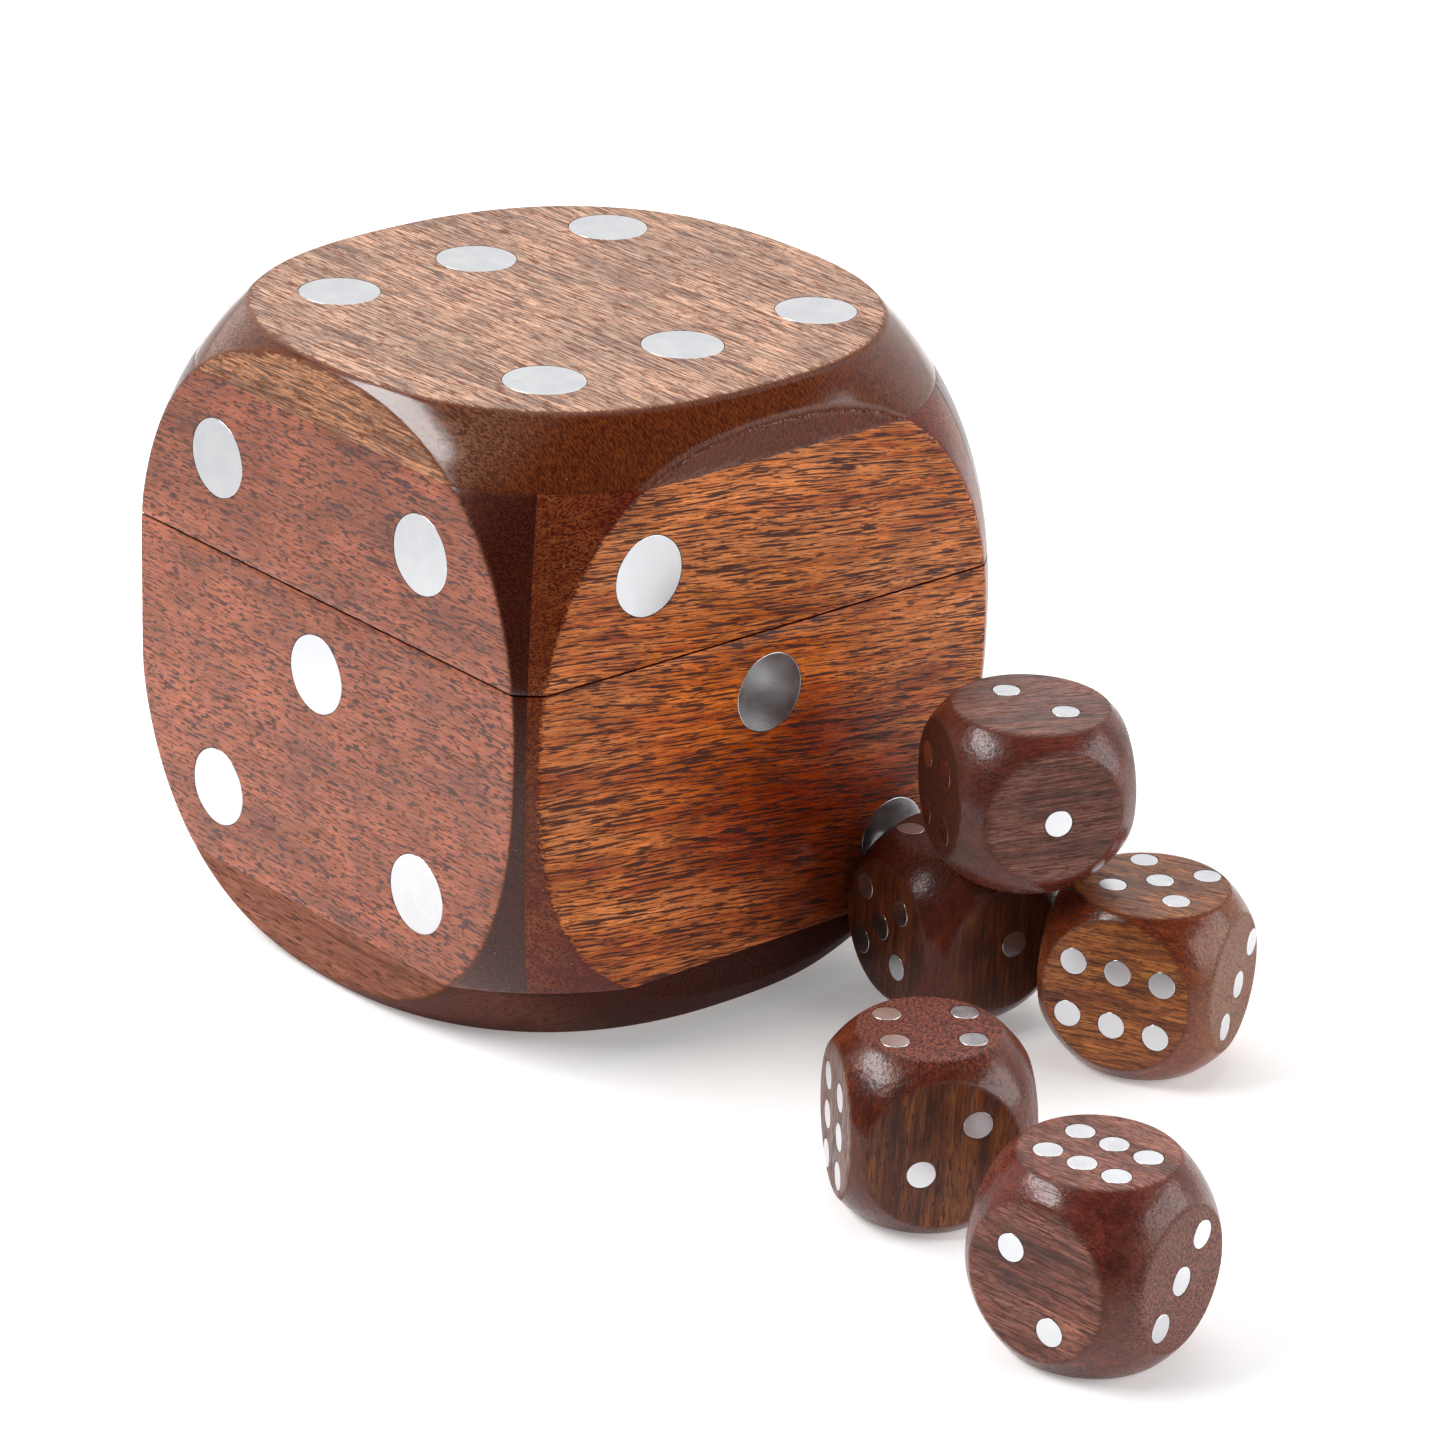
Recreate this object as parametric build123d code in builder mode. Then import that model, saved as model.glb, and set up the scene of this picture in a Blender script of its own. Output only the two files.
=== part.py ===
from build123d import *
import os
from math import cos, radians, sin

# A wooden dice box shaped like one big die, with a lift-off lid, and the five small
# wooden dice that it stores, set out on the table beside it. Millimetres, +Z up.
# The origin is the middle of the box's foot, on the table.

# ---- the box ----
box_width = 84.4            # along X
box_depth = 85.5            # along Y
box_height = 89.7
wall = 9.0                  # thickness of the side boards
top_thickness = 8.7
foot_thickness = 10.0
parting_height = 56.4       # where the block was sawn into base and lid

# The corners are sanded to one egg-shaped surface that leaves a round flat on each face.
round_radius = 60.6         # across
round_half_height = 63.3    # up and down
round_centre = (-2.4, -0.5, 45.1)

# Thin strips glued inside the base stand up into the lid and keep it in place.
strip_thickness = 3.0
strip_depth = 14.0          # below the saw cut
strip_rise = 6.0            # above it
strip_clearance = 0.4       # to the lid's walls
strip_lead_in = 0.8

# ---- the aluminium pips let into the box ----
box_pip_radius = 5.6
box_pip_depth = 2.5

# ---- the small dice ----
die_size = 25.0             # the two lower ones of the stack; the others differ a little
die_pip_radius = 1.9
die_pip_depth = 1.5
pip_step = 4.3              # from a face's middle to its corner pips, where not measured
six_long_step = 5.6
six_short_step = 3.8

SIDES = ("top", "bottom", "front", "back", "right", "left")
WALLS = ("front", "right", "back", "left")
OPPOSITE = {"top": "bottom", "front": "back", "right": "left"}
CORNERS = [(-1, -1), (-1, 1), (1, -1), (1, 1)]
PATTERNS = {
    1: [(0, 0)],
    2: [(-1, -1), (1, 1)],
    3: [(-1, -1), (0, 0), (1, 1)],
    4: CORNERS,
    5: CORNERS + [(0, 0)],
    6: CORNERS + [(-1, 0), (1, 0)],
}

os.makedirs("parts", exist_ok=True)


def face_plane(seat, half, side):
    """The plane of one face of a block on seat, with its normal pointing outward."""
    ways = {
        "top": (seat.z_dir, seat.x_dir, half[2]),
        "bottom": (-seat.z_dir, seat.x_dir, half[2]),
        "front": (-seat.y_dir, seat.x_dir, half[1]),
        "back": (seat.y_dir, -seat.x_dir, half[1]),
        "right": (seat.x_dir, seat.y_dir, half[0]),
        "left": (-seat.x_dir, -seat.y_dir, half[0]),
    }
    outward, across, reach = ways[side]
    return Plane(origin=seat.origin + outward * reach, x_dir=across, z_dir=outward)


def spread(number, steps, drift=(0, 0), twist=0, lean=1):
    """Centres of a face's pips. A lean of -1 runs the pattern the other way."""
    places = [(lean * u, v) for u, v in PATTERNS[number]]
    if number == 6 and steps[0] > steps[1]:
        # the two rows of three lie across the face
        places = [(v, u) for u, v in places]
    along = (cos(radians(twist)), sin(radians(twist)))
    centres = []
    for u, v in places:
        x, y = u * steps[0], v * steps[1]
        centres.append((drift[0] + x * along[0] - y * along[1], drift[1] + x * along[1] + y * along[0]))
    return centres


def egg(at, radius, half_height):
    """The surface that rounds a block's corners: a ball, a little taller or flatter."""
    with BuildPart(mode=Mode.PRIVATE) as solid:
        with BuildSketch(Plane(origin=at, x_dir=(1, 0, 0), z_dir=(0, -1, 0))):
            Ellipse(radius, half_height)
            Rectangle(2 * radius, 2 * half_height,
                      align=(Align.MAX, Align.CENTER), mode=Mode.SUBTRACT)
        revolve(axis=Axis(at, (0, 0, 1)))
    return solid.part


def save(part, name):
    """Label a finished piece and write it as its own node."""
    part.label = name
    export_step(part, f"parts/{name}.step")


def wall_outline(side, outer, thickness):
    """Plan outline of one side of a mitred frame: outer is its half width and half depth."""
    x, y = outer
    corners = [(-x, -y), (x, -y), (x, y), (-x, y)]
    inner = [(-x + thickness, -y + thickness), (x - thickness, -y + thickness),
             (x - thickness, y - thickness), (-x + thickness, y - thickness)]
    first = WALLS.index(side)
    second = (first + 1) % 4
    return [corners[first], corners[second], inner[second], inner[first]]


# ---- the box's own planes, the rounding surface and the pips on each face ----
box_seat = Plane(origin=(0, 0, box_height / 2))
box_half = (box_width / 2, box_depth / 2, box_height / 2)
box_outer = (box_width / 2, box_depth / 2)
lip_outer = (box_width / 2 - wall, box_depth / 2 - wall)
box_planes = {side: face_plane(box_seat, box_half, side) for side in SIDES}
lid_underside = box_height - top_thickness

rounding = egg(round_centre, round_radius, round_half_height)

box_pips = {
    "top": spread(6, (22.0, 23.8), (-1.5, 1.1)),
    "front": spread(5, (22.2, 24.3), (-2.1, 0.5)),
    # drilled unevenly: the lowest of the three sits further out than its pattern puts it
    "right": [(-22.4, 24.1), (-0.6, 2.3), (23.2, -25.1)],
    "back": spread(2, (22.0, 23.0)),
    "left": spread(4, (22.0, 23.0)),
    "bottom": spread(1, (0, 0)),
}


def pips_between(side, low, high):
    """The pips of one box face whose centres lie at or between two heights."""
    plane = box_planes[side]
    middle = plane.origin.Z
    rise = plane.y_dir.Z
    return [(u, v) for u, v in box_pips[side] if low <= middle + rise * v <= high]


def make_board(name, outline, low, high, side):
    """One board of the box: its outline, sanded to the rounding, with its pip pockets."""
    with BuildPart() as board:
        with BuildSketch(Plane.XY.offset(low)):
            Polygon(*outline, align=None)
        extrude(amount=high - low)
        add(rounding, mode=Mode.INTERSECT)
        with BuildSketch(box_planes[side]):
            with Locations(*pips_between(side, low, high)):
                Circle(box_pip_radius)
        extrude(amount=-box_pip_depth, mode=Mode.SUBTRACT)
    save(board.part, name)


def make_box_pips(name, side, low, high):
    """The aluminium discs let into one face, flush with it."""
    with BuildPart() as discs:
        with BuildSketch(box_planes[side]):
            with Locations(*pips_between(side, low, high)):
                Circle(box_pip_radius)
        extrude(amount=-box_pip_depth)
    save(discs.part, name)


# ---- the base: foot board, four mitred walls and the pips in them ----
square = [(-box_outer[0], -box_outer[1]), (box_outer[0], -box_outer[1]),
          (box_outer[0], box_outer[1]), (-box_outer[0], box_outer[1])]
make_board("base_foot_board", square, 0, foot_thickness, "bottom")
make_box_pips("base_foot_pip", "bottom", 0, foot_thickness)
for side in WALLS:
    outline = wall_outline(side, box_outer, wall)
    make_board(f"base_{side}_wall", outline, foot_thickness, parting_height, side)
    make_box_pips(f"base_{side}_pips", side, foot_thickness, parting_height)

# ---- the locating strips inside the base ----
for side in WALLS:
    raised_outer = (lip_outer[0] - strip_clearance, lip_outer[1] - strip_clearance)
    with BuildPart() as strip:
        with BuildSketch(Plane.XY.offset(parting_height - strip_depth)):
            Polygon(*wall_outline(side, lip_outer, strip_thickness), align=None)
        extrude(amount=strip_depth)
        with BuildSketch(Plane.XY.offset(parting_height)):
            Polygon(*wall_outline(side, raised_outer, strip_thickness - strip_clearance), align=None)
        extrude(amount=strip_rise)
        outward = Axis((0, 0, 0), box_planes[side].z_dir)
        chamfer(strip.edges().group_by(Axis.Z)[-1].sort_by(outward)[-1], strip_lead_in)
    save(strip.part, f"base_{side}_strip")

# ---- the lid: top board, four mitred walls and the pips in them ----
make_board("lid_top_board", square, lid_underside, box_height, "top")
make_box_pips("lid_top_pips", "top", lid_underside, box_height)
for side in WALLS:
    outline = wall_outline(side, box_outer, wall)
    make_board(f"lid_{side}_wall", outline, parting_height, lid_underside, side)
    make_box_pips(f"lid_{side}_pips", side, parting_height, lid_underside)

# ---- the small dice ----
# Made by hand, so each has its own size, and its own ball (radius, half height) and ball
# middle (from the die's middle) for its corners. "reads" is what its top, front and right
# faces read, and opposite faces add up to seven. "drilled" is how a face's pips are spaced,
# how far they are off centre and turned. A pattern in "lean" runs the other way.
stack_height = die_size
dice = {
    "stacked_die": {
        "at": (69.2, 21.6), "above": stack_height, "turn": -26.2,
        "size": (24.9, 24.6, 24.1), "ball": (15.5, 15.1), "ball_at": (0.1, 0, 0.9),
        "reads": {"top": 2, "front": 4, "right": 1}, "lean": (),
        "drilled": {"top": ((4.2, 2.8), (-0.8, 1.0)), "front": ((4.1, 4.0), (-0.8, -0.2), 3.6),
                    "right": ((0, 0), (0.6, 0))},
    },
    "rear_die": {
        "at": (56.4, 23.5), "above": 0, "turn": -10.9,
        "size": (24.6, 24.7, die_size), "ball": (15.1, 14.8), "ball_at": (0, -0.8, 0.6),
        "reads": {"top": 3, "front": 5, "right": 1}, "lean": (),
        "drilled": {"top": ((5.0, 5.8), (0, 0)), "front": ((4.5, 4.1), (-1.2, 0.7), -2.0),
                    "right": ((0, 0), (0.6, 1.1))},
    },
    "right_die": {
        "at": (83.3, 33.0), "above": 0, "turn": 24.1,
        "size": (24.4, 24.6, die_size), "ball": (15.4, 16.0), "ball_at": (-0.3, -0.8, 0.8),
        "reads": {"top": 5, "front": 6, "right": 3}, "lean": (),
        "drilled": {"top": ((4.7, 4.8), (0.2, 1.1), -4.9), "front": ((6.3, 3.9), (-0.4, 0.3), -3.3),
                    "right": ((4.3, 4.5), (1.3, -0.3))},
    },
    "left_die": {
        "at": (96.3, -19.6), "above": 0, "turn": -31.0,
        "size": (24.6, 24.7, 24.7), "ball": (15.3, 15.3), "ball_at": (0.8, -0.7, 0),
        "reads": {"top": 4, "front": 6, "right": 2}, "lean": (),
        "drilled": {"top": ((3.9, 5.0), (0.5, -0.5), -3.9), "front": ((3.7, 5.4), (-0.2, -1.4), 3.5),
                    "right": ((3.5, 3.3), (0.1, 0.8))},
    },
    "front_die": {
        "at": (136.4, -28.7), "above": 0, "turn": 11.5,
        "size": (24.8, 25.2, 25.9), "ball": (15.7, 16.7), "ball_at": (-0.6, -0.2, 0),
        "reads": {"top": 6, "front": 2, "right": 3}, "lean": ("front",),
        "drilled": {"top": ((5.1, 3.3), (-0.4, -0.7), -1.8), "front": ((3.1, 4.7), (-1.3, -1.2)),
                    "right": ((4.0, 4.8), (-0.3, -0.2))},
    },
}


def die_pips(die):
    """Pip centres on every face of a die, by side."""
    reads = dict(die["reads"])
    for side, far in OPPOSITE.items():
        reads[far] = 7 - reads[side]
    centres = {}
    for side in SIDES:
        number = reads[side]
        steps = (six_short_step, six_long_step) if number == 6 else (pip_step, pip_step)
        pattern = die["drilled"].get(side, (steps,))
        centres[side] = spread(number, *pattern, lean=-1 if side in die["lean"] else 1)
    return centres


for name, die in dice.items():
    turn = radians(die["turn"])
    width, depth, height = die["size"]
    middle = (*die["at"], die["above"] + height / 2)
    seat = Plane(origin=middle, x_dir=(cos(turn), sin(turn), 0), z_dir=(0, 0, 1))
    ball = egg(die["ball_at"], *die["ball"])
    centres = die_pips(die)
    planes = {side: face_plane(seat, (width / 2, depth / 2, height / 2), side) for side in SIDES}

    with BuildPart(seat) as block:
        Box(width, depth, height)
        add(ball, mode=Mode.INTERSECT)
        for side in SIDES:
            with BuildSketch(planes[side]):
                with Locations(*centres[side]):
                    Circle(die_pip_radius)
            extrude(amount=-die_pip_depth, mode=Mode.SUBTRACT)
    save(block.part, f"{name}_block")

    with BuildPart(seat) as pips:
        for side in SIDES:
            with BuildSketch(planes[side]):
                with Locations(*centres[side]):
                    Circle(die_pip_radius)
            extrude(amount=-die_pip_depth)
        add(ball, mode=Mode.INTERSECT)
    save(pips.part, f"{name}_pips")
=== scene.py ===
from math import cos, pi, radians, sin

import bmesh
import bpy
import numpy as np
from mathutils import Matrix, Vector


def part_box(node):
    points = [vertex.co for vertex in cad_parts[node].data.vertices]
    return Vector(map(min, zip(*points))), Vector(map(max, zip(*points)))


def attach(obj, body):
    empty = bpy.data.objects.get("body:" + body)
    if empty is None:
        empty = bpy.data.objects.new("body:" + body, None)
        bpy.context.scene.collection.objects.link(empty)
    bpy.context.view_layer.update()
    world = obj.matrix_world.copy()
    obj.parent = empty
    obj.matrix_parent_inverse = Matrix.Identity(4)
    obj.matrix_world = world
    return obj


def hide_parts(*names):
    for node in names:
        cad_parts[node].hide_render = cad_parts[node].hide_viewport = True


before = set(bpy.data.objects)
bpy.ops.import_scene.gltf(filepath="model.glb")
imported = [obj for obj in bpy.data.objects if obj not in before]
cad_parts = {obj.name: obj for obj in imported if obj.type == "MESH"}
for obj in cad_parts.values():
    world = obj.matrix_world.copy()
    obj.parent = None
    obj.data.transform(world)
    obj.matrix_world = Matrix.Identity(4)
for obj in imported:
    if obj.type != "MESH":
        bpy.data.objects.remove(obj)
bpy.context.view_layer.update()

# A wooden dice box shaped like one big die, and its five small dice. Metres, row frame:
# the box stands on the origin, its five towards -Y and its three towards +X.
MM = 0.001
SAME_PLACE = 0.001 * MM         # points nearer than this are one

# ---- shape: the box ----
ROUNDING_MIDDLE = (-1.5 * MM, -0.65 * MM, 45.25 * MM)
ROUNDING_RADII = (54.9 * MM, 56.8 * MM, 58.0 * MM)
ROUNDING_POWER = 2.38           # 2 is an ellipsoid; more is squarer
BOX_EASE = 0.16 * MM            # softness of the edge round each flat
DIE_EASE = 0.12 * MM
SAW_EASE = 0.07 * MM            # edges of the saw cut between base and lid
GLUE_EASE = 0.035 * MM          # edges of the glued joints
SAW_GAP = 0.32 * MM
HAND_WORK = 0.0022              # unevenness of the sanded corners, as a share of their radius
HAND_WAVES = 6                  # how many waves it is made of
HAND_WAVE_RATE = 3.0            # typical radians that a wave advances per unit of direction

# ---- shape: the inlaid discs ----
DISC_GAP = 0.07 * MM            # dark joint between disc and wood
DISC_SUNK = 0.012 * MM
# from the edge inwards: inset from the outline, share of what is left, drop below the top
DISC_PROFILE = (
    (0, 1, 0.10 * MM), (0.025 * MM, 1, 0.02 * MM), (0.06 * MM, 1, 0.003 * MM),
    (0.10 * MM, 1, 0), (0.14 * MM, 1, 0), (0.14 * MM, 0.6, 0), (0.14 * MM, 0.05, 0),
)
DISC_RAGGED = 0.007             # share of the radius
DISC_WAVES = range(2, 9)        # waves round a disc that make it ragged
GAP_UNEVEN = 30                 # power of that raggedness in the width of the dark joint
GAP_SEED = 50                   # from a disc's seed to its joint's
DRILL_ABOVE = 1 * MM

WOOD_SHARP_ANGLE = radians(32)
METAL_SHARP_ANGLE = radians(50)

SIDES = {
    "right": (0, 1), "left": (0, -1),
    "back": (1, 1), "front": (1, -1),
    "top": (2, 1), "bottom": (2, -1),
}
WALLS = ("front", "right", "back", "left")
DICE = ("stacked_die", "rear_die", "right_die", "left_die", "front_die")


# =====================================================================================
# rounded blocks
# =====================================================================================
NEWTON_STEPS = 6
FLAT_EDGE_LIMIT = 0.985     # as far out, as a share of the side, as a flat's ring of points goes
CROWD_IN, CROWD_OUT = 2.2, 1.6      # how strongly rings of points crowd towards the flat's edge
INSIDE = 1.002              # times that a way fits inside the skin, above which its point is inside
SAW_TOLERANCE = 0.0001 * MM


class Block:
    """A box with flat faces whose corners are cut by an egg-shaped surface.

    The egg is the surface |x/a|^power + |y/b|^power + |z/c|^power = 1 round egg_at.
    """

    def __init__(self, middle, half, turn, egg_at, egg_radii, power, ease, seed):
        self.middle = np.array(middle, float)
        self.half = np.array(half, float)
        self.turn = turn
        self.to_row = np.array(Matrix.Rotation(turn, 3, "Z"))
        self.egg_at = np.array(egg_at, float)
        self.egg_radii = np.array(egg_radii, float)
        self.power = power
        self.ease = ease
        self.waves = np.random.default_rng(seed).normal(size=(HAND_WAVES, 3)) * HAND_WAVE_RATE
        self.phases = np.random.default_rng(seed + 1).uniform(0, 2 * pi, HAND_WAVES)

    def egg_reach(self, ways):
        """How many times each way fits inside the egg, found by Newton's method."""
        power = self.power
        times = self.egg_radii.min() / np.linalg.norm(ways, axis=-1)
        for _ in range(NEWTON_STEPS):
            u = (ways * times[..., None] - self.egg_at) / self.egg_radii
            size = (np.abs(u) ** power).sum(-1) ** (1 / power)
            push = (np.sign(u) * np.abs(u) ** (power - 1) * ways / self.egg_radii).sum(-1)
            times = times + (1 - size) * size ** (power - 1) / push
        return times

    def reach(self, ways):
        """How many times each way, taken from the middle, fits inside the skin."""
        length = np.linalg.norm(ways, axis=-1)
        planes = self.half / np.maximum(np.abs(ways), 1e-12)
        unit = ways / length[..., None]
        uneven = np.sin(unit @ self.waves.T + self.phases).mean(-1)
        egg = self.egg_reach(ways) * (1 + HAND_WORK * uneven)
        limits = np.concatenate([planes, egg[..., None]], -1) * length[..., None] / self.ease
        low = limits.min(-1, keepdims=True)
        soft = low[..., 0] - np.log(np.exp(low - limits).sum(-1))
        return soft * self.ease / length

    def height(self, side, u, v):
        """How far the skin is from the middle plane, over a point of a side."""
        axis, sign = SIDES[side]
        first, second = (axis + 1) % 3, (axis + 2) % 3
        radii, at, power = self.egg_radii, self.egg_at, self.power
        inside = (1 - np.abs((u - at[first]) / radii[first]) ** power
                  - np.abs((v - at[second]) / radii[second]) ** power)
        egg = sign * at[axis] + radii[axis] * np.maximum(inside, 0) ** (1 / power)
        flat = self.half[axis]
        return flat - self.ease * np.log1p(np.exp(np.clip((flat - egg) / self.ease, -60, 60)))

    def place(self, side, u, v, h):
        """A point of the row frame from its place over a side."""
        axis, sign = SIDES[side]
        local = np.zeros(np.broadcast(u, v, h).shape + (3,))
        local[..., axis] = sign * h
        local[..., (axis + 1) % 3] = u
        local[..., (axis + 2) % 3] = v
        return local @ self.to_row.T + self.middle

    def local(self, points):
        return (points - self.middle) @ self.to_row


def face_grid(block, side, inner, outer):
    """One side's grid of points: rings out to the flat's edge, then on to the block's edge."""
    axis, sign = SIDES[side]
    first, second = (axis + 1) % 3, (axis + 2) % 3
    rings = inner + outer
    steps = np.arange(-rings, rings + 1)
    i, j = np.meshgrid(steps, steps, indexing="ij")
    ring = np.maximum(np.abs(i), np.abs(j))
    whole = np.maximum(ring, 1)
    square = np.stack([np.tan(pi / 4 * i / whole), np.tan(pi / 4 * j / whole)], -1)
    angle = np.arctan2(square[..., 1], square[..., 0])

    power = block.power
    depth = np.abs(sign * block.half[axis] - block.egg_at[axis]) / block.egg_radii[axis]
    share = (1 - depth ** power) ** (1 / power)
    middle = np.array([block.egg_at[first] / block.half[first],
                       block.egg_at[second] / block.half[second]])
    squareness = (np.abs(np.cos(angle)) ** power + np.abs(np.sin(angle)) ** power) ** (1 / power)
    flat_edge = middle + (share / squareness)[..., None] * np.stack([
        block.egg_radii[first] / block.half[first] * np.cos(angle),
        block.egg_radii[second] / block.half[second] * np.sin(angle)], -1)
    flat_edge = np.clip(flat_edge, -FLAT_EDGE_LIMIT, FLAT_EDGE_LIMIT)

    within = 1 - (np.maximum(inner - ring, 0) / inner) ** CROWD_IN
    beyond = (np.maximum(ring - inner, 0) / outer) ** CROWD_OUT
    place = middle + within[..., None] * (flat_edge - middle)
    place = place + beyond[..., None] * (square - flat_edge)

    ways = np.zeros(place.shape[:2] + (3,))
    ways[..., axis] = sign * block.half[axis]
    ways[..., first] = place[..., 0] * block.half[first]
    ways[..., second] = place[..., 1] * block.half[second]
    return ways * block.reach(ways)[..., None]


def block_bmesh(block, inner, outer):
    """The closed skin of a block, in the row frame."""
    bm = bmesh.new()
    for side, (axis, sign) in SIDES.items():
        points = face_grid(block, side, inner, outer)
        points = points @ block.to_row.T + block.middle
        rows = [[bm.verts.new(p) for p in row] for row in points]
        for a, b in zip(rows[:-1], rows[1:]):
            for k in range(len(a) - 1):
                corners = [a[k], b[k], b[k + 1], a[k + 1]]
                bm.faces.new(corners if sign > 0 else corners[::-1])
    bmesh.ops.remove_doubles(bm, verts=bm.verts, dist=SAME_PLACE)
    return bm


def saw(bm, at, normal, ease):
    """Cuts away what lies beyond a plane and closes the cut with a bare face.

    A first cut, which takes nothing away, keeps the eased edge to twice its softness.
    """
    for offset, clear in ((-2 * ease, False), (0, True)):
        plane_at = Vector(at) + Vector(normal) * offset
        everything = bm.verts[:] + bm.edges[:] + bm.faces[:]
        done = bmesh.ops.bisect_plane(bm, geom=everything, dist=SAW_TOLERANCE, plane_co=plane_at,
                                      plane_no=normal, clear_outer=clear)
    rim = [e for e in done["geom_cut"] if isinstance(e, bmesh.types.BMEdge)]
    for face in bmesh.ops.edgeloop_fill(bm, edges=rim)["faces"]:
        face.material_index = BARE


def ease_cuts(bm, block, cuts):
    """Draws the outer edges of the cuts in a little, so that a joint shows as a fine line."""
    for vert in bm.verts:
        point = np.array(vert.co)
        way = block.local(point)
        if block.reach(way) > INSIDE:
            continue
        near = [ease for at, normal, ease in cuts
                if abs((point - np.array(at)) @ np.array(normal)) < SAME_PLACE]
        if near:
            inward = max(near) / np.linalg.norm(way)
            vert.co = Vector(point - (point - block.middle) * inward)


# =====================================================================================
# meshes into pieces
# =====================================================================================
BARE = 1                    # material slot of a board's sawn faces; slot 0 is its skin


def add_object(name, data):
    made = bpy.data.objects.new(name, data)
    bpy.context.scene.collection.objects.link(made)
    return made


def dress(piece, *materials):
    piece.data.materials.clear()
    for material in materials:
        piece.data.materials.append(material)


def smooth(mesh, sharp_angle):
    mesh.polygons.foreach_set("use_smooth", [True] * len(mesh.polygons))
    mesh.set_sharp_from_angle(angle=sharp_angle)


def finish_wood(name, bm, block, drill):
    """Drills the pockets, marks the sanded corners and smooths the shading."""
    mesh = bpy.data.meshes.new(name)
    bm.normal_update()
    bm.to_mesh(mesh)
    bm.free()
    piece = add_object(name, mesh)
    cut = piece.modifiers.new("pockets", "BOOLEAN")
    cut.operation = "DIFFERENCE"
    cut.solver = "EXACT"
    cut.object = drill
    evaluated = piece.evaluated_get(bpy.context.evaluated_depsgraph_get())
    piece.modifiers.clear()
    piece.data = bpy.data.meshes.new_from_object(evaluated)
    piece.data.name = name
    bpy.data.objects.remove(drill)
    mark_depth(piece.data, block)
    smooth(piece.data, WOOD_SHARP_ANGLE)
    return piece


def mark_depth(mesh, block):
    """Stores how many millimetres each point lies below the nearest flat."""
    points = np.zeros(len(mesh.vertices) * 3)
    mesh.vertices.foreach_get("co", points)
    local = block.local(points.reshape(-1, 3))
    below = (block.half - np.abs(local)).min(-1) / MM
    stored = mesh.attributes.new("below_flat", "FLOAT", "POINT")
    stored.data.foreach_set("value", below.astype(np.float32))


def islands(node):
    """The separate solids of a CAD node, as arrays of their points."""
    bm = bmesh.new()
    bm.from_mesh(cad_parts[node].data)
    bmesh.ops.remove_doubles(bm, verts=bm.verts, dist=SAME_PLACE)
    left = set(bm.verts)
    found = []
    while left:
        reached = [left.pop()]
        for vert in reached:
            for edge in vert.link_edges:
                other = edge.other_vert(vert)
                if other in left:
                    left.remove(other)
                    reached.append(other)
        found.append(np.array([v.co for v in reached]))
    bm.free()
    return sorted(found, key=lambda points: tuple(np.round(points.mean(0), 4)))


def discs_of(node, block):
    """Where a CAD node's discs are: side, place on it, radius and depth."""
    found = []
    for points in islands(node):
        local = block.local(points)
        low, high = local.min(0), local.max(0)
        axis = int(np.argmax(np.maximum(np.abs(low), np.abs(high)) - block.half))
        sign = 1 if high[axis] > -low[axis] else -1
        side = next(name for name, way in SIDES.items() if way == (axis, sign))
        first, second = (axis + 1) % 3, (axis + 2) % 3
        middle = (low + high) / 2
        radius = max(high[first] - low[first], high[second] - low[second]) / 2
        found.append((side, middle[first], middle[second], radius, high[axis] - low[axis]))
    return found


def ragged(angles, seed):
    """A hand-cut outline: a radius factor for each angle."""
    rng = np.random.default_rng(seed)
    factor = np.ones_like(angles)
    for wave in DISC_WAVES:
        swing = 0.5 * DISC_RAGGED / wave ** 0.5 * rng.normal()
        factor += swing * np.sin(wave * angles + rng.uniform(0, 2 * pi))
    return factor


def lathe(bm, rings):
    """Joins rings of points, first to last, and closes both ends."""
    loops = [[bm.verts.new(p) for p in ring] for ring in rings]
    count = len(loops[0])
    for a, b in zip(loops[:-1], loops[1:]):
        for k in range(count):
            following = (k + 1) % count
            bm.faces.new([a[k], a[following], b[following], b[k]])
    bm.faces.new(loops[0][::-1])
    bm.faces.new(loops[-1])


def disc_rings(block, disc, seed, segments):
    """Rings of an aluminium disc, from its bottom to the middle of its polished top."""
    side, u, v, radius, depth = disc
    angles = np.linspace(0, 2 * pi, segments, endpoint=False)
    outline = radius * ragged(angles, seed)
    floor = np.full_like(angles, block.half[SIDES[side][0]] - depth)
    rings = [block.place(side, u + outline * np.cos(angles), v + outline * np.sin(angles), floor)]
    for inset, share, drop in DISC_PROFILE:
        reach = (outline - inset) * share
        x = u + reach * np.cos(angles)
        y = v + reach * np.sin(angles)
        rings.append(block.place(side, x, y, block.height(side, x, y) - DISC_SUNK - drop))
    return rings if SIDES[side][1] > 0 else [ring[::-1] for ring in rings]


def drill_rings(block, disc, seed, segments):
    """Rings of the pocket that a disc sits in."""
    side, u, v, radius, depth = disc
    angles = np.linspace(0, 2 * pi, segments, endpoint=False)
    outline = radius * ragged(angles, seed) + DISC_GAP * ragged(angles, seed + GAP_SEED) ** GAP_UNEVEN
    flat = block.half[SIDES[side][0]]
    x = u + outline * np.cos(angles)
    y = v + outline * np.sin(angles)
    rings = [block.place(side, x, y, np.full_like(x, h)) for h in (flat - depth, flat + DRILL_ABOVE)]
    return rings if SIDES[side][1] > 0 else [ring[::-1] for ring in rings]


def solid_of(name, ring_sets):
    """An object with one closed solid for each set of rings."""
    bm = bmesh.new()
    for rings in ring_sets:
        lathe(bm, rings)
    bmesh.ops.recalc_face_normals(bm, faces=bm.faces)
    mesh = bpy.data.meshes.new(name)
    bm.to_mesh(mesh)
    bm.free()
    return add_object(name, mesh)


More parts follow.
